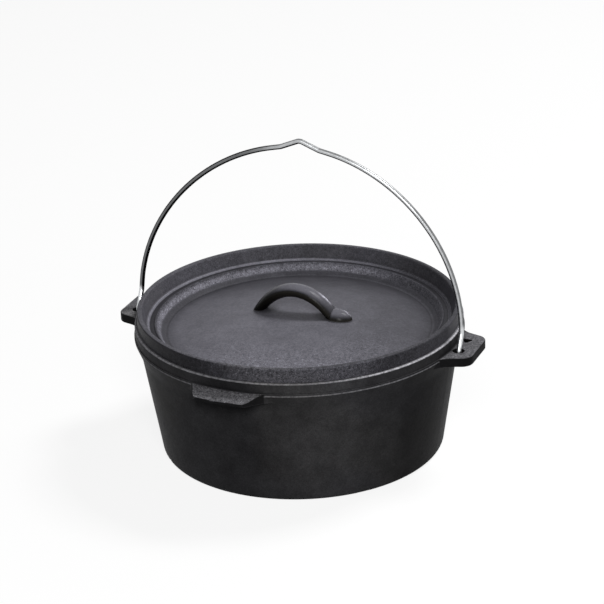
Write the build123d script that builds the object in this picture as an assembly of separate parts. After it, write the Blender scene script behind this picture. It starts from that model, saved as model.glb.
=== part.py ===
from build123d import *
from math import acos, asin, cos, degrees, radians, sin, tan
import os

# Flat-bottomed cast iron dutch oven in three pieces: pot, lid and wire bail.
# Millimetres and degrees. +Z is up, the base stands on z = 0, the ears lie
# along X and the lifting tab points to -Y.

os.makedirs("parts", exist_ok=True)

# ---- Pot --------------------------------------------------------------
POT_HEIGHT = 134.0          # base to rim face
MOUTH_RADIUS = 156.5        # inside of the rim
RIM_THICKNESS = 7.5         # inside to outside of the rim
RIM_BAND = 10.0             # upright band above the ledge
LEDGE_PROUD = 0.8           # ledge beyond the band
LEDGE_HEIGHT = 3.0
UNDERCUT_HEIGHT = 16.0      # sloping underside between ledge and wall
UNDERCUT_BLEND = 30.0       # soft hollow where the underside meets the wall
WALL_DRAFT = 9.0            # lean of the wall from upright
WALL_THICKNESS = 5.0
FLOOR_THICKNESS = 6.0
FOOT_ROUNDING = 5.0
WELL_ROUNDING = 14.0        # inside corner between floor and wall
CAST_EDGE = 1.2             # small rounding on cast edges

# ---- Ears, one at each end of the X axis ------------------------------
EAR_REACH = 24.5            # ear beyond the rim band
EAR_THICKNESS = 9.5
EAR_TIP_WIDTH = 53.0
EAR_ROOT_WIDTH = 68.0       # where the ear meets the rim band
EAR_CORNER = 12.0
EAR_BLEND = 26.0            # concave run from ear to ledge
HOLE_SET_OUT = 8.0          # hole line beyond the rim band
HOLE_SPACING = 26.0         # wire hole to tip hole
WIRE_PLAY = 3.5             # round the wire in the hole that it goes down through
TIP_PLAY = 1.05             # round the wire in the three-sided hole for its tip
TIP_HOLE_ROUNDING = 1.8

# ---- Lifting tab at the front -----------------------------------------
TAB_TURN = 3.0              # degrees that the tab sits round from -Y towards -X
TAB_REACH = 18.5            # tab beyond the rim band
TAB_TIP_WIDTH = 52.0
TAB_ROOT_WIDTH = 70.0
TAB_CORNER = 12.0
TAB_BLEND = 30.0
TAB_FALL = 4.5              # drop of the tab's top from ledge to edge
TAB_EDGE = 3.0              # thickness at the outer edge
TAB_UNDERCUT = 2.5          # how much the tab thickens towards the wall

# ---- Lid --------------------------------------------------------------
LID_SET_IN = 2.8            # lid flange inside the pot's rim
LID_CLEARANCE = 1.0         # register inside the mouth
LID_THICKNESS = 5.0
FLANGE_HEIGHT = 14.0        # lid rim above the seat
FLANGE_TOP = 5.0            # thickness of the flange at its top
FLANGE_FOOT = 9.2           # thickness of the flange at the shelf
SHELF_HEIGHT = 0.4          # shelf above the seat
SHELF_WIDTH = 1.8
GROOVE_WIDTH = 5.2
GROOVE_DEPTH = 1.5
CREST_RISE = 0.6            # crest above the groove
CREST_WIDTH = 1.7
STEP_WIDTH = 5.5            # slope inside the crest
STEP_DROP = 7.5
WELL_WIDTH = 4.3            # softer slope down to the plate
WELL_DROP = 4.0
DOME_RISE = 16.0            # plate centre above its edge
FLANGE_ROUNDING = 1.6

# ---- Loop handle, cast on the lid -------------------------------------
LOOP_CENTRE = -2.5          # middle of the arch along X
LOOP_SPAN = 82.5            # between the legs' centres, at their roots in the plate
LOOP_GAP_HEIGHT = 16.5      # finger opening above the plate
LOOP_START = 47.0           # degrees up its ellipse where the arch leaves its root
LOOP_CROWN = 12.8           # thickness of the arch at its top
LOOP_CROWN_WIDTH = 19.0
LOOP_FOOT = 9.8             # thickness of the arch at its feet
LOOP_FOOT_WIDTH = 18.0
PAD_HEEL = 6.0              # pad inwards from the right leg's root
PAD_TOE = 18.0              # pad outwards from it
PAD_RADIUS = 12.0           # half width of the pad, and its height above the root

# ---- Bail -------------------------------------------------------------
WIRE = 5.0                  # wire diameter
HOOK_TIP = 4.0              # how far the tip turns up past level
FOOT_LEAN = 30.0            # lean of the foot from upright
FOOT_LENGTH = 15.0          # straight from the right hook to its kink
LEFT_FOOT_LENGTH = 19.0     # the hand-bent left kink sits higher
ARCH_RISE = 173.5           # right kink to the top of the plain arch
ARCH_POWER = 1.905          # 2 would be an ellipse
ARCH_STATIONS = 12          # bends from kink to crown
ARCH_SET = 7.5              # sideways set of the hand-bent arch at its crown
CROWN_HALF = 20.0           # half width of the V at the crown
CROWN_RISE = 6.6            # V above the plain arch
CROWN_BEND = 7.0
KINK_BEND = 7.0

# ---- Worked out from the above ----------------------------------------
draft = radians(WALL_DRAFT)
rim_radius = MOUTH_RADIUS + RIM_THICKNESS
ledge_radius = rim_radius + LEDGE_PROUD
ledge_z = POT_HEIGHT - RIM_BAND
ledge_bottom = ledge_z - LEDGE_HEIGHT
wall_top = ledge_bottom - UNDERCUT_HEIGHT
crown_z = POT_HEIGHT + SHELF_HEIGHT - GROOVE_DEPTH + CREST_RISE - STEP_DROP - WELL_DROP + DOME_RISE
hole_x = rim_radius + HOLE_SET_OUT
hinge_z = ledge_z - EAR_THICKNESS / 2
hook_radius = HOLE_SPACING / 2
loop_root_z = crown_z - LID_THICKNESS * 0.8


def inner_radius(z):
    """Inside of the wall at a height below the ledge."""
    return MOUTH_RADIUS - (ledge_z - z) * tan(draft)


def outer_radius(z):
    """Outside of the wall at a height below the ledge."""
    return inner_radius(z) + WALL_THICKNESS / cos(draft)


def underside_radius(z):
    """Outside of the pot at a height between the wall and the ledge."""
    inward = ledge_radius - outer_radius(wall_top)
    return outer_radius(wall_top) + inward * (z - wall_top) / UNDERCUT_HEIGHT


def rounded(face, radii):
    """A (radius, height) section with the corners listed in radii rounded."""
    for point, radius in radii.items():
        nearest = face.vertices().sort_by_distance((*point, 0))[0]
        face = fillet(nearest, radius)
    return face


def turned(face):
    """Solid of revolution about Z from a (radius, height) section."""
    return revolve(Plane.XZ * face, Axis.Z)


def make_cavity():
    """The room inside the pot, open at the top."""
    above = POT_HEIGHT + RIM_BAND
    floor_corner = (inner_radius(FLOOR_THICKNESS), FLOOR_THICKNESS)
    outline = [
        (0, FLOOR_THICKNESS),
        floor_corner,
        (MOUTH_RADIUS, ledge_z),
        (MOUTH_RADIUS, above),
        (0, above),
    ]
    face = make_face(Polyline(*outline, close=True))
    return turned(rounded(face, {floor_corner: WELL_ROUNDING}))


def make_vessel():
    """Outside of the pot, solid right through."""
    foot = (outer_radius(0), 0)
    hollow = (outer_radius(wall_top), wall_top)
    rim = (rim_radius, POT_HEIGHT)
    ledge_edge = (ledge_radius, ledge_z)
    ledge_foot = (ledge_radius, ledge_bottom)
    outline = [
        (0, 0),
        foot,
        hollow,
        ledge_foot,
        ledge_edge,
        (rim_radius, ledge_z),
        rim,
        (0, POT_HEIGHT),
    ]
    rounding = {
        foot: FOOT_ROUNDING,
        hollow: UNDERCUT_BLEND,
        rim: CAST_EDGE,
        ledge_edge: LEDGE_PROUD / 2,
        ledge_foot: LEDGE_HEIGHT / 2,
    }
    face = make_face(Polyline(*outline, close=True))
    return turned(rounded(face, rounding))


def lug_block(reach, tip_width, root_width, corner_radius, blend, bottom):
    """Upright block of a lug towards +X, faired into a disc that hides just inside the pot."""
    disc_radius = underside_radius(bottom) - LEDGE_PROUD / 2
    tip = rim_radius + reach
    inside = disc_radius / 2
    flank = (root_width - tip_width) / 2 / reach
    inside_half = root_width / 2 + flank * (rim_radius - inside)
    plan = [
        (inside, -inside_half),
        (tip, -tip_width / 2),
        (tip, tip_width / 2),
        (inside, inside_half),
    ]
    outline = Circle(disc_radius) + make_face(Polyline(*plan, close=True))
    block = extrude(Pos(0, 0, bottom) * outline, ledge_z - bottom)
    uprights = block.edges().filter_by(Axis.Z).sort_by(Axis.X)
    block = fillet(uprights[-2:], corner_radius)
    roots = block.edges().filter_by(Axis.Z)
    on_disc = [e for e in roots if abs(e.center().X**2 + e.center().Y**2 - disc_radius**2) < 0.1]
    return fillet([e for e in on_disc if e.center().X > 0], blend)


def make_ear():
    """Flat side ear towards +X, with its two holes."""
    bottom = ledge_z - EAR_THICKNESS
    plate = lug_block(EAR_REACH, EAR_TIP_WIDTH, EAR_ROOT_WIDTH, EAR_CORNER, EAR_BLEND, bottom)
    rims = plate.edges().group_by(Axis.Z)
    plate = fillet(rims[0] + rims[-1], CAST_EDGE)
    wire_hole = Pos(hole_x, -HOLE_SPACING / 2) * Circle(WIRE / 2 + WIRE_PLAY)
    tip_hole = RegularPolygon(WIRE + 2 * TIP_PLAY, 3, rotation=-90)
    tip_hole = fillet(tip_hole.vertices(), TIP_HOLE_ROUNDING)
    tip_hole = Pos(hole_x, HOLE_SPACING / 2) * tip_hole
    holes = Pos(0, 0, hinge_z) * (wire_hole + tip_hole)
    return plate - extrude(holes, EAR_THICKNESS, both=True)


def make_tab():
    """Lifting tab near -Y: its top falls outwards and it thickens towards the wall."""
    tip = rim_radius + TAB_REACH
    tip_top = ledge_z - TAB_FALL
    root_bottom = tip_top - TAB_EDGE - TAB_UNDERCUT
    limit = [
        (0, ledge_z),
        (rim_radius, ledge_z),
        (tip, tip_top),
        (tip, tip_top - TAB_EDGE),
        (rim_radius, root_bottom),
        (0, root_bottom),
    ]
    limit = rounded(
        make_face(Polyline(*limit, close=True)),
        {(tip, tip_top): TAB_EDGE * 0.4, (tip, tip_top - TAB_EDGE): TAB_EDGE * 0.4},
    )
    block = lug_block(TAB_REACH, TAB_TIP_WIDTH, TAB_ROOT_WIDTH, TAB_CORNER, TAB_BLEND, root_bottom)
    return Rot(0, 0, -90 - TAB_TURN) * block & turned(limit)


def make_pot():
    """The pot casting: vessel, ears and tab, hollowed by the cavity."""
    ear = make_ear()
    mirrored_ear = mirror(ear, Plane.YZ)
    return make_vessel() + ear + mirrored_ear + make_tab() - make_cavity()


def dome_arc(top_z, edge):
    """Section of a spherical dome, from its top on the Z axis out to an edge point."""
    rise = top_z - edge[1]
    radius = (edge[0] ** 2 + rise**2) / (2 * rise)
    half_angle = asin(edge[0] / radius) / 2
    half_way = (radius * sin(half_angle), top_z - radius * (1 - cos(half_angle)))
    return ThreePointArc((0, top_z), half_way, edge)


def make_lid_plate():
    """Dished lid: flange, shelf, groove, crest, stepped well and domed plate."""
    seat = POT_HEIGHT
    outside = rim_radius - LID_SET_IN
    register = MOUTH_RADIUS - LID_CLEARANCE
    shelf_in = outside - FLANGE_FOOT - SHELF_WIDTH
    groove_in = shelf_in - GROOVE_WIDTH
    crest_in = groove_in - CREST_WIDTH
    step_in = crest_in - STEP_WIDTH
    well_in = step_in - WELL_WIDTH

    top_z = seat + FLANGE_HEIGHT
    shelf_z = seat + SHELF_HEIGHT
    groove_z = shelf_z - GROOVE_DEPTH
    crest_z = groove_z + CREST_RISE
    step_z = crest_z - STEP_DROP
    well_z = step_z - WELL_DROP

    seat_edge = (outside, seat)
    flange_out = (outside, top_z)
    flange_in = (outside - FLANGE_TOP, top_z)
    flange_root = (outside - FLANGE_FOOT, shelf_z)
    shelf_edge = (shelf_in, shelf_z)
    groove_out = (shelf_in - GROOVE_DEPTH / 2, groove_z)
    crest = (groove_in - CREST_WIDTH / 2, crest_z)
    crest_edge = (crest_in, crest_z)
    step = (step_in, step_z)
    well = (well_in, well_z)
    under_shelf = (register - LID_THICKNESS * 1.15, groove_z - LID_THICKNESS * 0.8)
    under_crest = (crest_in + LID_THICKNESS * 0.8, crest_z - LID_THICKNESS)
    under_step = (step_in + LID_THICKNESS * 0.7, step_z - LID_THICKNESS * 0.9)
    under_well = (well_in + LID_THICKNESS * 0.25, well_z - LID_THICKNESS)

    walls = Polyline(
        well,
        step,
        crest_edge,
        crest,
        (groove_in, groove_z),
        groove_out,
        shelf_edge,
        flange_root,
        flange_in,
        flange_out,
        seat_edge,
        (register, seat),
        under_shelf,
        under_crest,
        under_step,
        under_well,
    )
    dome = dome_arc(crown_z, well)
    under_dome = dome_arc(crown_z - LID_THICKNESS, under_well)
    middle = Line((0, crown_z - LID_THICKNESS), (0, crown_z))
    face = make_face([*dome.edges(), *walls.edges(), *under_dome.edges(), *middle.edges()])
    rounding = {
        flange_out: FLANGE_ROUNDING,
        flange_in: FLANGE_ROUNDING,
        seat_edge: CAST_EDGE / 2,
        flange_root: CAST_EDGE,
        shelf_edge: CAST_EDGE / 3,
        crest_edge: CAST_EDGE,
        step: WELL_DROP / 2,
        well: WELL_DROP,
        under_crest: CAST_EDGE,
        under_well: CAST_EDGE,
    }
    seam_behind = Rot(0, 0, 90)
    return seam_behind * turned(rounded(face, rounding))


def make_loop():
    """Arched loop handle: an oval bar, thinner at its leaning legs, that stands in the plate."""
    start = radians(LOOP_START)
    crown_centre = crown_z + LOOP_GAP_HEIGHT + LOOP_CROWN / 2
    half_width = LOOP_SPAN / 2 / cos(start)
    height = (crown_centre - loop_root_z) / (1 - sin(start))
    path = Plane.XZ * Pos(LOOP_CENTRE, crown_centre - height) * EllipticalCenterArc(
        (0, 0), half_width, height, start_angle=LOOP_START, arc_size=180 - 2 * LOOP_START
    )
    bars = []
    for place in (0, 0.5, 1):
        thickness = LOOP_CROWN if place == 0.5 else LOOP_FOOT
        width = LOOP_CROWN_WIDTH if place == 0.5 else LOOP_FOOT_WIDTH
        across = Plane(origin=path @ place, x_dir=(0, 1, 0), z_dir=path % place)
        bars.append(across * Ellipse(width / 2, thickness / 2))
    return sweep(bars, path=path, multisection=True)


def make_pad():
    """Egg-shaped pad that the handle's right leg runs out into, upper half only."""
    heel = EllipticalCenterArc((0, 0), PAD_HEEL, PAD_RADIUS, start_angle=90, arc_size=90)
    toe = EllipticalCenterArc((0, 0), PAD_TOE, PAD_RADIUS, start_angle=0, arc_size=90)
    axis = Line((-PAD_HEEL, 0), (PAD_TOE, 0))
    egg = revolve(make_face([*heel.edges(), *toe.edges(), *axis.edges()]), Axis.X, 180)
    return Pos(LOOP_CENTRE + LOOP_SPAN / 2, 0, loop_root_z) * egg


def make_lid():
    """The lid casting: plate, loop handle and pad."""
    return make_lid_plate() + make_loop() + make_pad()


lean = radians(FOOT_LEAN)
foot_start = Vector(hole_x, -hook_radius * cos(lean), hinge_z + hook_radius * sin(lean))


def kink(side):
    """Bend at the top of the straight foot on one side."""
    length = LEFT_FOOT_LENGTH if side < 0 else FOOT_LENGTH
    rise = Vector(0, sin(lean), cos(lean)) * length
    return Vector(side * foot_start.X, foot_start.Y, foot_start.Z) + rise


arch_top = kink(1).Z + ARCH_RISE
crown = Vector(ARCH_SET, 0, arch_top + CROWN_RISE)


def arch_station(side, angle):
    """Point of the plain arch on one side, from 0 degrees at the kink to 90 at the crown.

    The hand-bent arch is set a little to +X as it rises.
    """
    start = kink(side)
    half = start.X * cos(radians(angle)) ** (2 / ARCH_POWER)
    rise = sin(radians(angle)) ** (2 / ARCH_POWER)
    height = start.Z + (arch_top - start.Z) * rise
    return Vector(half + ARCH_SET * rise, start.Y * (1 - rise), height)


def arch_stations(side):
    """Stations of the arch from the kink to the foot of the V."""
    v_foot_angle = degrees(acos((CROWN_HALF / hole_x) ** (ARCH_POWER / 2)))
    return [arch_station(side, v_foot_angle * i / ARCH_STATIONS) for i in range(ARCH_STATIONS + 1)]


def hook(side):
    """Hooked end round the web between the two holes, from the tip to the straight foot."""
    centre = Vector(side * hole_x, 0, hinge_z)
    tip_angle = radians(HOOK_TIP)
    tip = centre + Vector(0, cos(tip_angle), sin(tip_angle)) * hook_radius
    lowest = centre - Vector(0, 0, hook_radius)
    return ThreePointArc(tip, lowest, Vector(side * foot_start.X, foot_start.Y, foot_start.Z))


def corner_radius(before, point, after):
    """Largest neat bend at a corner of the arch: it takes 0.45 of the shorter run each way."""
    run_in = point - before
    run_out = after - point
    half_turn = radians(run_in.get_angle(run_out)) / 2
    return 0.45 * min(run_in.length, run_out.length) / tan(half_turn)


def make_bail():
    """The bent wire: two hooked ends joined by kinked feet, the arch and the V at its crown."""
    left_hook = hook(-1)
    right_hook = hook(1)
    left = arch_stations(-1)
    right = arch_stations(1)[::-1]
    route = [left_hook @ 1, *left, crown, *right, right_hook @ 1]
    radii = [corner_radius(*route[i - 1 : i + 2]) for i in range(1, len(route) - 1)]
    middle = len(radii) // 2
    radii[0] = radii[-1] = KINK_BEND
    radii[middle - 1 : middle + 2] = [CROWN_BEND] * 3
    arch = FilletPolyline(*route, radius=radii)
    path = Wire([*left_hook.edges(), *arch.edges(), *right_hook.edges()])
    section = Plane(origin=left_hook @ 0, z_dir=left_hook % 0) * Circle(WIRE / 2)
    return sweep(section, path=path)


def export(name, shape):
    """Write one sub-part and say what it measures."""
    print(name, round(shape.volume / 1000, 1), "cm3", shape.bounding_box())
    export_step(shape, f"parts/{name}.step")


export("pot", make_pot())
export("lid", make_lid())
export("bail", make_bail())
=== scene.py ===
"""Looks of a cast iron dutch oven: seasoned sand-cast iron and a drawn wire bail, on a pale floor."""

import bpy
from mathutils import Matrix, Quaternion, Vector


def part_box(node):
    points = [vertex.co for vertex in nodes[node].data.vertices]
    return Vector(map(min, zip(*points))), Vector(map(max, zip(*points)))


# Metres, and radians for turns. +Z is up, the ears lie along X and the lifting tab points to -Y.

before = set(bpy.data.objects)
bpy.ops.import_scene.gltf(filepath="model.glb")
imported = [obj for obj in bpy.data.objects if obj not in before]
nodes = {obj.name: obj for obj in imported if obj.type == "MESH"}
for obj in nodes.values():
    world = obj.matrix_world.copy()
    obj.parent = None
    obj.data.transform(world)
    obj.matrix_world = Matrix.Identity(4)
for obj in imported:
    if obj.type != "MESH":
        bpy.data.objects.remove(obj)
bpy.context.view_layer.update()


# ---------------------------------------------------------------- node helpers
class Graph:
    """A short way to write the nodes of a material or of the world."""

    def __init__(self, owner):
        owner.use_nodes = True
        self.tree = owner.node_tree
        self.tree.nodes.clear()

    def set(self, socket, value):
        """Links a socket or sets its value. A plain number goes into a colour as a grey."""
        if isinstance(value, bpy.types.NodeSocket):
            self.tree.links.new(value, socket)
        elif socket.type == "RGBA":
            colour = value if isinstance(value, tuple) else (value, value, value)
            socket.default_value = (*colour, 1.0)
        else:
            socket.default_value = value

    def node(self, kind, inputs, **settings):
        made = self.tree.nodes.new("ShaderNode" + kind)
        for name, value in settings.items():
            setattr(made, name, value)
        for name, value in inputs.items():
            self.set(made.inputs[name], value)
        return made

    def math(self, operation, a, b=0.0, clamp=False):
        made = self.node("Math", {0: a, 1: b}, operation=operation, use_clamp=clamp)
        return made.outputs[0]

    def mul(self, product, *factors):
        for factor in factors:
            product = self.math("MULTIPLY", product, factor)
        return product

    def add(self, total, *terms):
        for term in terms:
            total = self.math("ADD", total, term)
        return total

    def sub(self, a, b):
        return self.math("SUBTRACT", a, b)

    def div(self, a, b):
        return self.math("DIVIDE", a, b)

    def larger(self, a, b):
        return self.math("MAXIMUM", a, b)

    def without(self, value, taken):
        """value, apart from where taken is 1."""
        return self.mul(value, self.sub(1.0, taken))

    def split(self, vector):
        return self.node("SeparateXYZ", {0: vector}).outputs

    def scale(self, vector, factor):
        return self.node("VectorMath", {0: vector, 3: factor}, operation="SCALE").outputs[0]

    def span(self, value, low, high, start=0.0, end=1.0, smooth=True):
        """value from low to high becomes start to end, and stays there outside."""
        made = self.node("MapRange", {0: value, 1: low, 2: high, 3: start, 4: end},
                         interpolation_type="SMOOTHSTEP" if smooth else "LINEAR", clamp=True)
        return made.outputs[0]

    def fade(self, factor, start, end, smooth=True):
        """start where factor is 0, and end where it is 1."""
        return self.span(factor, 0.0, 1.0, start, end, smooth)

    def step(self, value, edge, soft):
        """0 below edge and 1 above it, with a soft edge."""
        return self.span(value, edge - soft, edge + soft)

    def band(self, value, low, high, soft):
        """1 between low and high and 0 outside, with soft edges."""
        return self.mul(self.step(value, low, soft), self.span(value, high - soft, high + soft, 1.0, 0.0))

    def mix(self, factor, a, b):
        """a where factor is 0 and b where it is 1, for colours and for plain numbers."""
        return self.node("Mix", {0: factor, 6: a, 7: b}, data_type="RGBA").outputs[2]

    def noise(self, place, scale, detail=2.0, rough=0.5):
        """A noise that mostly stays between 0.3 and 0.7, with scale features to the metre."""
        inputs = {"Vector": place, "Scale": scale, "Detail": detail, "Roughness": rough}
        return self.node("TexNoise", inputs).outputs[0]

    def vary(self, noise, start, end):
        """start to end, as the noise goes from low to high."""
        return self.span(noise, 0.3, 0.7, start, end)


# ---------------------------------------------------------------- camera
EYE = (0.89525, -2.10908, 1.11402)
AIM = (0.0, 0.0, 0.148)
SENSOR_WIDTH = 36.0         # millimetres
FOCAL_LENGTH = 149.0        # millimetres
SHIFT_X = -0.00126          # of the frame's width
SHIFT_Y = 0.0005
SIDE_TURN = -0.0017         # about the camera's own upright axis
ROLL = -0.0386              # about the line that it looks along


def stand(name, data, place, target):
    """Adds a camera or a lamp that looks from place at target."""
    made = bpy.data.objects.new(name, data)
    made.location = place
    made.rotation_mode = "QUATERNION"
    made.rotation_quaternion = (Vector(target) - Vector(place)).to_track_quat("-Z", "Y")
    bpy.context.scene.collection.objects.link(made)
    return made


lens = bpy.data.cameras.new("camera")
lens.sensor_width = SENSOR_WIDTH
lens.lens = FOCAL_LENGTH
lens.shift_x = SHIFT_X
lens.shift_y = SHIFT_Y
camera = stand("camera", lens, EYE, AIM)
side_turn = Quaternion((0, 1, 0), SIDE_TURN)
roll = Quaternion((0, 0, 1), ROLL)
camera.rotation_quaternion = camera.rotation_quaternion @ side_turn @ roll
bpy.context.scene.camera = camera
bpy.context.scene.view_settings.view_transform = "Standard"


# ---------------------------------------------------------------- light and floor
LAMP_TARGET = (0.0, 0.0, 0.1)
WHITE = (1.0, 1.0, 1.0)
ROOM_LIGHT = 0.03           # strength of the world's own light on things
BACKDROP = 1.0              # and its strength where it is seen
FLOOR_HALF = 15.0
FLOOR_Z = -0.0006           # just under the pot's base
FLOOR_TONE = 0.16           # how much light the floor throws back
FLOOR_GLOW = 0.86           # what is added to that where the floor is seen


def softbox(name, place, width, power):
    """A square lamp that faces the pot."""
    lamp = bpy.data.lights.new(name, "AREA")
    lamp.shape = "SQUARE"
    lamp.size = width
    lamp.energy = power
    stand(name, lamp, place, LAMP_TARGET)


def seen_rays(g):
    """1 for what the camera sees, directly or in metal or glass, and 0 for light on things."""
    path = g.node("LightPath", {}).outputs
    indirect = g.larger(path["Is Glossy Ray"], path["Is Transmission Ray"])
    return g.larger(path["Is Camera Ray"], indirect)


def make_world():
    world = bpy.data.worlds.new("studio")
    g = Graph(world)
    strength = g.fade(seen_rays(g), ROOM_LIGHT, BACKDROP, smooth=False)
    sky = g.node("Background", {"Color": WHITE, "Strength": strength})
    g.node("OutputWorld", {"Surface": sky.outputs[0]})
    return world


def floor_material():
    made = bpy.data.materials.new("floor")
    g = Graph(made)
    dull = g.node("BsdfDiffuse", {"Color": FLOOR_TONE})
    glow = g.node("Emission", {"Color": WHITE, "Strength": g.mul(seen_rays(g), FLOOR_GLOW)})
    both = g.node("AddShader", {0: dull.outputs[0], 1: glow.outputs[0]})
    g.node("OutputMaterial", {"Surface": both.outputs[0]})
    return made


def lay_floor():
    ends = (-FLOOR_HALF, FLOOR_HALF)
    corners = [(x, y, FLOOR_Z) for y in ends for x in ends]
    mesh = bpy.data.meshes.new("floor")
    mesh.from_pydata(corners, [], [(0, 1, 3, 2)])
    mesh.materials.append(floor_material())
    floor = bpy.data.objects.new("floor", mesh)
    bpy.context.scene.collection.objects.link(floor)


softbox("back", (1.03, 1.37, 2.56), width=0.8, power=64.0)
softbox("front", (1.00, -2.24, 1.82), width=0.9, power=46.0)
bpy.context.scene.world = make_world()
lay_floor()


# ---------------------------------------------------------------- cast iron
ACROSS_X = 0.92                     # a level direction about 23 degrees round from +X towards +Y
ACROSS_Y = 0.39
CAST_EDGE = 0.0012                  # rounding of the castings' edges
SHADE_REACH = 0.011                  # how far off another face still gives painted shade in a recess
SAND_SCALE = 800.0                  # features to the metre, from grains of sand to wide clouds
SPECK_SCALE = 650.0
COARSE_SCALE = 320.0
LUMP_SCALE = 130.0
MOTTLE_SCALE = 70.0
PATCH_SCALE = 45.0
CLOUD_SCALE = 14.0
TINT_SCALE = 9.0
COARSE_SHARE = 0.5                  # weight of the coarse grain beside the sand's
GRAIN_CONTRAST = 2.6
DARKEST_GRAIN = 0.25
PAINTED_GLINT = 1.6                         # tone that a painted glint on a speck adds
EDGE_WEAR_AND_HIGHLIGHT = 1.0                   # tone that a rubbed edge and its painted highlight add
WARMTH = (1.12, 1.04, 0.72)         # factors on the iron's colour where it is rusty
RELIEF_DEPTH = 0.0004
RELIEF_STRENGTH = 0.4
LUMP_SHARE = 0.6                    # weight of the lumps in the relief
GRAININESS = 0.42                   # of plain iron; rough sand has about 1


class Skin:
    """Where a point of a surface is and which way it faces. Places are in metres, at rest."""

    def __init__(self, g):
        coords = g.node("TexCoord", {}).outputs
        self.place = coords["Object"]
        self.x, self.y, self.z = g.split(self.place)
        self.out_x, self.out_y, self.up = g.split(coords["Normal"])


class CastSkin(Skin):
    """The same for a casting, with the places round its axis and the noises of every iron surface."""

    def __init__(self, g):
        super().__init__(g)
        self.radius = g.math("SQRT", g.add(g.mul(self.x, self.x), g.mul(self.y, self.y)))
        along = g.add(g.mul(self.out_x, self.x), g.mul(self.out_y, self.y))
        self.outward = g.div(along, self.radius)
        self.right = g.add(g.mul(self.x, ACROSS_X), g.mul(self.y, ACROSS_Y))
        self.back = g.add(g.mul(self.x, -ACROSS_Y), g.mul(self.y, ACROSS_X))
        self.sand = g.noise(self.place, SAND_SCALE, 3.0, 0.6)
        self.coarse = g.noise(self.place, COARSE_SCALE, 3.0, 0.55)
        self.mottle = g.noise(self.place, MOTTLE_SCALE, 4.0, 0.6)
        self.cloud = g.noise(self.place, CLOUD_SCALE, 3.0, 0.5)


def grain_tone(g, skin, grainy):
    """Grains of lighter iron on darker seasoning, with slow patches and a few specks of painted glint."""
    slow = g.add(g.vary(skin.mottle, 0.92, 1.08), g.vary(skin.cloud, -0.06, 0.06))
    sand = g.add(g.sub(skin.sand, 0.5), g.mul(g.sub(skin.coarse, 0.5), COARSE_SHARE))
    grain = g.mul(sand, g.mul(grainy, GRAIN_CONTRAST))
    tone = g.mul(slow, g.larger(g.add(1.0, grain), DARKEST_GRAIN))
    cells = g.node("TexVoronoi", {"Vector": skin.place, "Scale": SPECK_SCALE}).outputs["Distance"]
    specks = g.mul(g.span(cells, 0.12, 0.3, 1.0, 0.0), g.span(skin.coarse, 0.50, 0.62))
    return g.add(tone, g.mul(specks, g.mul(grainy, grainy), PAINTED_GLINT))


def recess_shade_and_edges(g, skin, tone):
    """Painted shade in the recesses, and paler convex edges, which are rubbed iron with a painted highlight.
    """
    occlusion = g.node("AmbientOcclusion", {"Distance": SHADE_REACH}, samples=8, only_local=True).outputs["AO"]
    tone = g.mul(tone, g.span(occlusion, 0.35, 0.95, 0.35, 1.0))
    soft = g.node("Bevel", {"Radius": CAST_EDGE}, samples=6).outputs[0]
    true = g.node("NewGeometry", {}).outputs["Normal"]
    bend = g.node("VectorMath", {0: soft, 1: true}, operation="DOT_PRODUCT").outputs["Value"]
    edge = g.mul(g.span(bend, 0.985, 0.85), g.span(occlusion, 0.8, 0.95))
    edge = g.mul(edge, g.span(skin.coarse, 0.38, 0.62, 0.35, 1.0))
    return g.add(tone, g.mul(edge, EDGE_WEAR_AND_HIGHLIGHT))


def iron(name, colour, specular, zones):
    """Seasoned sand-cast iron. zones(g, skin) gives four values over the casting: a tone, which is
    a factor on the colour and carries painted light and shade, the roughness, the graininess and how rusty
    the colour is."""
    made = bpy.data.materials.new(name)
    g = Graph(made)
    skin = CastSkin(g)
    tone, rough, grainy, rust = zones(g, skin)
    tone = recess_shade_and_edges(g, skin, g.mul(grain_tone(g, skin, grainy), tone))
    rusty = tuple(part * warmth for part, warmth in zip(colour, WARMTH))

    relief = g.add(g.mul(skin.sand, g.fade(grainy, 0.25, 1.0)), g.mul(skin.coarse, g.fade(grainy, 0.3, 0.9)))
    relief = g.add(relief, g.mul(g.noise(skin.place, LUMP_SCALE), LUMP_SHARE))
    bump = g.node("Bump", {"Strength": RELIEF_STRENGTH, "Distance": RELIEF_DEPTH, "Height": relief})
    uneven = g.vary(skin.sand, -0.06, 0.06)
    shader = g.node("BsdfPrincipled", {
        "Base Color": g.scale(g.mix(rust, colour, rusty), tone),
        "Metallic": 0.0,
        "Roughness": g.math("ADD", rough, uneven, clamp=True),
        "Specular IOR Level": specular,
        "Normal": bump.outputs[0]})
    g.node("OutputMaterial", {"Surface": shader.outputs[0]})
    return made


# ---------------------------------------------------------------- the lid
LID_COLOUR = (0.122, 0.120, 0.139)
LID_SPECULAR = 0.05
LID_ROUGHNESS = 0.48
LID_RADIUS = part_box("lid")[1][0]
RIM_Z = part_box("pot")[1][2]
CROWN_Z = RIM_Z + 0.004             # top of the lid's dished plate
DOME_RISE = 0.016                   # from the plate's edge to its crown

# how far each ring of the lid lies in from its outer edge
FLANGE_SIDE = 0.0008
FLANGE_FOOT = 0.0095
SHELF_START = 0.0101
SHELF_END = 0.0120
GROOVE_START = 0.0124
SLOPE_START = 0.0178
SLOPE_LINE = 0.0196                 # between the slope's dark upper and pale lower part
SLOPE_END = 0.0233
PLATE_START = 0.0277
WELL_SHADE_RUN = 0.002                    # how far the well's painted shade runs onto the plate
PLATE_RADIUS = LID_RADIUS - PLATE_START

# tones of the lid: factors on its colour, which paint light and shade on the plate, the rings and the
# handle, and for the plate's painted light what a metre along X or Y adds
PLATE_TONE = 1.03
PLATE_LIGHT_X = -0.4
PLATE_LIGHT_Y = -2.2
PLATE_SHADE_FALL = 9.0                    # painted shade: what the plate loses by the square of the radius
DARKEST_PLATE = 0.3
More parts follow.
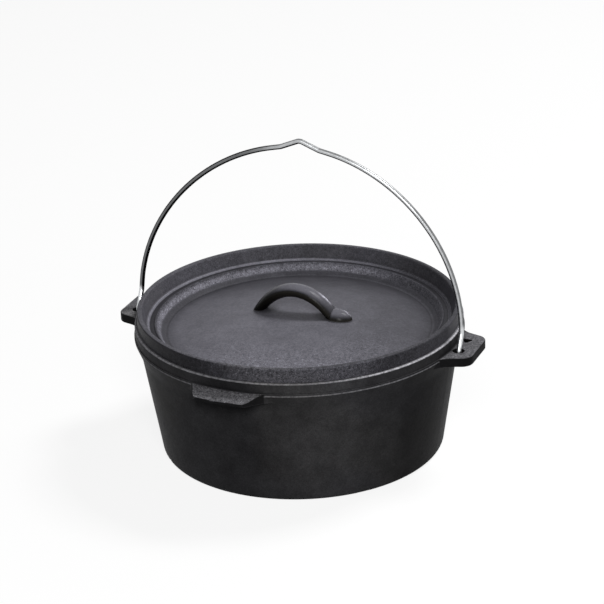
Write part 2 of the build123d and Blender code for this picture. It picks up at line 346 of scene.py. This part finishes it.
# painted shade in the groove and in the well
GROOVE_SHADE = 0.27
WELL_SHADE = 0.50
# painted light on the handle's top and painted shade on its sides
HANDLE_TOP_LIGHT = 1.12
HANDLE_SIDE_SHADE = 0.13
SHADED_LEG = 0.3                      # painted shade on the handle's leg at -X
HANDLE_GLINT_TONE = 4.6                     # what the painted glints add to the handle

# where the handle is, by radius, and where its leg and pad at +X carry painted glints, by X
HANDLE_REACH = 0.09
GLINT_LEG_START = 0.0225
GLINT_LEG_END = 0.0320
GLINT_PAD = 0.0370


def plate_light_and_shade(g, skin, front):
    """Painted light and shade on the plate: paler at the front left, darker at the back, at the right and
    towards its rim.
    """
    light_lean = g.add(g.mul(skin.x, PLATE_LIGHT_X), g.mul(skin.y, PLATE_LIGHT_Y))
    tone = g.add(PLATE_TONE, g.sub(light_lean, g.mul(skin.radius, skin.radius, PLATE_SHADE_FALL)))
    light_and_shade = (  # along what, where it starts and is full, and its tone
        (skin.back, 0.045, 0.115, 0.58),
        (skin.right, 0.020, 0.100, 0.84),
        (skin.radius, 0.118, 0.131, g.span(front, 0.2, 0.8, 0.74, 1.0)),
        (skin.back, -0.050, -0.105, 1.20),
    )
    for along, start, full, factor in light_and_shade:
        tone = g.mul(tone, g.span(along, start, full, 1.0, factor))
    return g.larger(tone, DARKEST_PLATE)


def flange_light_and_shade(g, skin, right, front, to_ear):
    """Painted light and shade on the flange: its outer side is darkest at the left and palest at the front,
    and its inner side is darker towards the ear at +X."""
    side = g.step(skin.radius, LID_RADIUS - FLANGE_SIDE, 0.0004)
    outer = g.larger(g.span(right, -0.8, 0.8, 0.12, 0.44, smooth=False), g.span(front, 0.78, 1.0, 0.2, 0.80))
    return g.mix(side, g.span(to_ear, 0.10, 0.55, 0.72, 0.46), outer)


def slope_light_and_shade(g, skin, to_ear):
    """Painted light and shade on the slope inside the crest: pale along its foot, apart from the side of the
    ear at +X, and dark above, most at the ear at -X."""
    far = g.span(to_ear, -0.9, -0.1, 1.0, 0.0)
    line = g.sub(LID_RADIUS - SLOPE_LINE, g.mul(far, 0.0004))
    upper = g.span(g.sub(skin.radius, line), -0.0010, 0.0020)
    return g.mix(upper, g.span(to_ear, 0.05, 0.50, 1.5, 0.62), g.fade(far, 0.78, 0.48))


def handle_glints(g, skin):
    """Painted glints on the outer edge of the handle's leg at +X, and in a small mark on its pad."""
    leg = g.band(skin.x, GLINT_LEG_START, GLINT_LEG_END, 0.0035)
    leg = g.mul(leg, g.band(skin.out_y, 0.12, 0.62, 0.14))
    leg = g.mul(leg, g.span(skin.up, 0.25, 0.50), g.span(skin.coarse, 0.36, 0.50, 0.45, 1.0))
    pad = g.mul(g.span(skin.x, GLINT_PAD, GLINT_PAD + 0.0015), g.band(skin.out_y, 0.10, 0.60, 0.12))
    pad = g.mul(pad, g.band(skin.out_x, 0.30, 0.75, 0.12), g.span(skin.coarse, 0.42, 0.55))
    return g.add(leg, g.mul(pad, 0.6))


def lid_zones(g, skin):
    # directions from the axis: 1 at the right, at the front and at the ear at +X, and -1 opposite
    right = g.div(skin.right, skin.radius)
    front = g.div(skin.back, g.mul(skin.radius, -1.0))
    to_ear = g.div(skin.x, skin.radius)

    def ring(start, end, soft):
        return g.band(skin.radius, LID_RADIUS - end, LID_RADIUS - start, soft)

    flange = g.step(skin.radius, LID_RADIUS - FLANGE_FOOT, 0.0005)
    slope = ring(SLOPE_START, SLOPE_END, 0.0006)
    # in the rings: a painted highlight on the shelf, weaker towards the ear at +X, painted shade in the
    # groove and the well, and painted light and shade on the slope
    rings = (  # where, and the tone there
        (ring(SHELF_START, SHELF_END, 0.0004), g.span(to_ear, 0.0, 0.5, 2.1, 1.1)),
        (ring(GROOVE_START, SLOPE_START, 0.0004), GROOVE_SHADE),
        (slope, slope_light_and_shade(g, skin, to_ear)),
        (ring(SLOPE_END, PLATE_START + WELL_SHADE_RUN, 0.0012), WELL_SHADE),
    )
    beyond_plate = g.span(skin.radius, PLATE_RADIUS - WELL_SHADE_RUN, PLATE_RADIUS)
    tone = g.mix(beyond_plate, plate_light_and_shade(g, skin, front), 1.0)
    tone = g.mix(flange, tone, flange_light_and_shade(g, skin, right, front, to_ear))
    for place, factor in rings:
        tone = g.mul(tone, g.fade(place, 1.0, factor, smooth=False))

    # the loop handle is what stands above the dished plate: painted light makes it pale on top, and painted
    # shade darkens its sides and its leg at -X
    fall = g.mul(g.math("POWER", g.div(skin.radius, PLATE_RADIUS), 2.0), DOME_RISE)
    height = g.sub(g.add(skin.z, fall), CROWN_Z)
    inside = g.span(skin.radius, HANDLE_REACH, HANDLE_REACH + 0.01, 1.0, 0.0)
    loop = g.mul(g.step(height, 0.0010, 0.0006), inside)
    shaded_leg = g.span(skin.x, -0.034, -0.006, SHADED_LEG, 1.0)
    top = g.span(skin.up, 0.35, 0.97)
    loop_light_and_shade = g.mul(shaded_leg, g.fade(top, HANDLE_SIDE_SHADE, HANDLE_TOP_LIGHT))
    tone = g.mul(tone, g.fade(loop, 1.0, loop_light_and_shade, smooth=False))
    tone = g.add(tone, g.mul(loop, handle_glints(g, skin), HANDLE_GLINT_TONE))

    rough = g.add(LID_ROUGHNESS, g.mul(slope, 0.06), g.mul(loop, -0.26))
    # more grain on the slope and towards the front of the plate, and with it more painted glints on the
    # specks
    front_grain_and_glints = g.mul(g.span(front, 0.3, 1.0), g.span(skin.radius, 0.06, 0.11, 0.0, 0.55))
    grainy = g.add(GRAININESS, g.mul(slope, 0.75), g.mul(flange, 0.25), front_grain_and_glints)
    grainy = g.mul(grainy, g.fade(loop, 1.0, 0.5))
    patchy = g.span(g.noise(skin.place, TINT_SCALE, 1.0), 0.45, 0.60)
    upper_side = g.span(skin.up, 0.15, 0.95)
    rust = g.add(g.mul(flange, 0.08, patchy), g.mul(loop, g.span(upper_side, 0.1, 0.6, 0.9, 0.0)))
    return tone, rough, grainy, rust


# ---------------------------------------------------------------- the pot
POT_COLOUR = (0.043, 0.0425, 0.0455)
POT_SPECULAR = 0.02
POT_ROUGHNESS = 0.5
LEDGE_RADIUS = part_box("pot")[1][1]
RIM_RADIUS = LEDGE_RADIUS - 0.0008
LEDGE_Z = RIM_Z - 0.010
LEDGE_EDGE = 0.0027                 # from the ledge's top down to its lower edge, which carries a painted highlight
EDGE_HALF = 0.0007                  # half the height of that edge

# tones of the pot: what the painted highlights on the rim, the ledge and the lug tops add, and a factor of
# painted shade for the sides of the ears and the tab
RIM_HIGHLIGHT = 4.6
RIM_HIGHLIGHT_RIGHT = 5.0                # and more on the right
LEDGE_HIGHLIGHT = 3.2
LEDGE_HIGHLIGHT_RIGHT = 1.5
LUG_TOP_LIGHT = 2.0
LUG_SIDE_SHADE = 0.3


def wall_light_and_patches(g, skin, right, near):
    """Painted light and shade outside: a paler stretch at the front, with darker ones beside it.
    Each has one strength on the wall and another on the band above the ledge. Random patches vary the tone."""
    outside = g.mul(near, g.span(skin.outward, 0.2, 0.6))
    above = g.span(skin.z, LEDGE_Z - 0.002, LEDGE_Z)
    pale = g.mul(g.band(right, -0.04, 0.38, 0.12), outside)
    shaded_left = g.mul(g.band(right, -0.60, -0.24, 0.12), outside)
    shaded_right = g.mul(g.span(right, 0.50, 0.78), outside)
    tone = g.add(1.0, g.mul(pale, g.add(0.32, g.mul(above, 0.2))))
    tone = g.mul(tone, g.fade(shaded_left, 1.0, g.fade(above, 0.76, 0.55)))
    tone = g.mul(tone, g.fade(shaded_right, 1.0, g.fade(above, 0.46, 0.80)))
    return g.mul(tone, g.span(g.noise(skin.place, PATCH_SCALE, 4.0, 0.6), 0.35, 0.65, 0.88, 1.12))


def pot_zones(g, skin):
    right = g.add(g.div(skin.right, skin.radius), g.vary(skin.cloud, -0.08, 0.08))
    near = g.span(skin.back, 0.03, -0.03)

    # the ears and the tab are what reaches beyond the ledge: painted light makes them paler on top, and
    # painted shade dark at their sides
    lugs = g.step(skin.radius, LEDGE_RADIUS + 0.0007, 0.0005)
    level = g.span(skin.up, 0.35, 0.90)
    lit_lug_tops = g.mul(level, lugs)
    tone = g.mix(lugs, wall_light_and_patches(g, skin, right, near), 1.0)
    tone = g.add(tone, g.mul(lit_lug_tops, LUG_TOP_LIGHT))

    # painted highlights run along the rim's top and the ledge's lower edge, brightest on the right at the
    # front and broken up by noise
    rim = g.span(skin.z, RIM_Z - 0.0014, RIM_Z - 0.0007)
    rim = g.mul(rim, g.span(skin.radius, RIM_RADIUS - 0.0019, RIM_RADIUS - 0.0012, 0.28, 1.0))
    edge_z = LEDGE_Z - LEDGE_EDGE
    ledge = g.band(skin.z, edge_z - EDGE_HALF, edge_z + EDGE_HALF, 0.0003)
    ledge = g.mul(ledge, g.span(skin.radius, LEDGE_RADIUS - 0.0014, LEDGE_RADIUS - 0.0006))
    broken = g.span(skin.coarse, 0.36, 0.56, 0.7, 1.15)
    lit_side = g.mul(g.span(right, 0.0, 0.6), near)
    tone = g.add(tone, g.mul(rim, broken, g.add(RIM_HIGHLIGHT, g.mul(lit_side, RIM_HIGHLIGHT_RIGHT))))
    ledge = g.mul(g.without(ledge, lugs), broken)
    tone = g.add(tone, g.mul(ledge, g.add(LEDGE_HIGHLIGHT, g.mul(lit_side, LEDGE_HIGHLIGHT_RIGHT))))
    tone = g.mul(tone, g.fade(g.without(lugs, level), 1.0, LUG_SIDE_SHADE))

    rough = g.add(POT_ROUGHNESS, g.mul(lugs, 0.08))
    grainy = g.add(GRAININESS, g.mul(lit_lug_tops, 0.9))
    rust = g.span(g.noise(skin.place, TINT_SCALE, 1.0), 0.50, 0.65, 0.0, 0.12)
    return tone, rough, grainy, rust


# ---------------------------------------------------------------- the bail
WIRE_COLOUR = (0.50, 0.51, 0.52)
WIRE_SHEEN = (0.2, 0.2, 0.2)        # tint of the wire at a glancing angle
BAIL_HALF = 0.17                    # about half the bail's width
BRIGHT_BELOW = RIM_Z + 0.008          # the hooks, feet and kinks are lower than this
BRIGHT_FADE = 0.008
SCUFF_SCALE = 240.0                 # features to the metre
WIRE_PATCH_SCALE = 35.0
FINE_SCALE = 1500.0
SHADED_ARM = 0.30                     # tones, as factors on the colour
SHADED_SIDE = 0.12
WEAR_AND_HIGHLIGHT_TONE = 1.35
WIRE_RELIEF_DEPTH = 0.0001
WIRE_RELIEF_STRENGTH = 0.25


def wire():
    """Drawn steel wire with a satin, scuffed skin. Painted shade darkens its arm at -X, a painted dark
    reflection the inner and outer sides of its arch, and the hooks, feet and kinks are paler from wear and a
    painted highlight."""
    made = bpy.data.materials.new("bail_wire")
    g = Graph(made)
    skin = Skin(g)
    scuff = g.noise(skin.place, SCUFF_SCALE, 4.0, 0.65)
    patch = g.noise(skin.place, WIRE_PATCH_SCALE, 3.0)
    fine = g.noise(skin.place, FINE_SCALE)

    # the hooks, feet and kinks are paler from wear and a painted highlight, and kept out of the painted
    # shade
    bright_ends = g.span(skin.z, BRIGHT_BELOW + BRIGHT_FADE, BRIGHT_BELOW)
    # painted shade on the arm at -X and a painted dark reflection on the arch's inner and outer sides
    shaded_arm = g.span(g.add(skin.x, g.mul(patch, 0.04)), 0.03, -0.05)
    inward = g.sub(g.mul(skin.out_x, g.div(skin.x, -BAIL_HALF)), skin.up)
    shaded_outer_side = g.mul(g.span(inward, -0.55, -0.85), g.fade(shaded_arm, 0.6, 1.0))
    shaded_sides = g.larger(g.span(inward, 0.05, 0.50), shaded_outer_side)
    tone = g.add(g.vary(scuff, 0.88, 1.06), g.span(patch, 0.35, 0.65, -0.08, 0.04))
    tone = g.mul(tone, g.fade(g.without(shaded_arm, bright_ends), 1.0, SHADED_ARM))
    tone = g.mul(tone, g.fade(g.without(shaded_sides, bright_ends), 1.0, SHADED_SIDE))
    tone = g.mul(tone, g.fade(bright_ends, 1.0, WEAR_AND_HIGHLIGHT_TONE))

    bump = g.node("Bump", {
        "Strength": WIRE_RELIEF_STRENGTH,
        "Distance": WIRE_RELIEF_DEPTH,
        "Height": g.add(fine, scuff)})
    shader = g.node("BsdfPrincipled", {
        "Base Color": g.scale(WIRE_COLOUR, tone),
        "Metallic": 1.0,
        "Specular Tint": WIRE_SHEEN,
        "Roughness": g.vary(scuff, 0.26, 0.38),
        "Normal": bump.outputs[0]})
    g.node("OutputMaterial", {"Surface": shader.outputs[0]})
    return made


# ---------------------------------------------------------------- the materials go on
def dress(node, material):
    materials = nodes[node].data.materials
    materials.clear()
    materials.append(material)


dress("lid", iron("lid_iron", LID_COLOUR, LID_SPECULAR, lid_zones))
dress("pot", iron("pot_iron", POT_COLOUR, POT_SPECULAR, pot_zones))
dress("bail", wire())
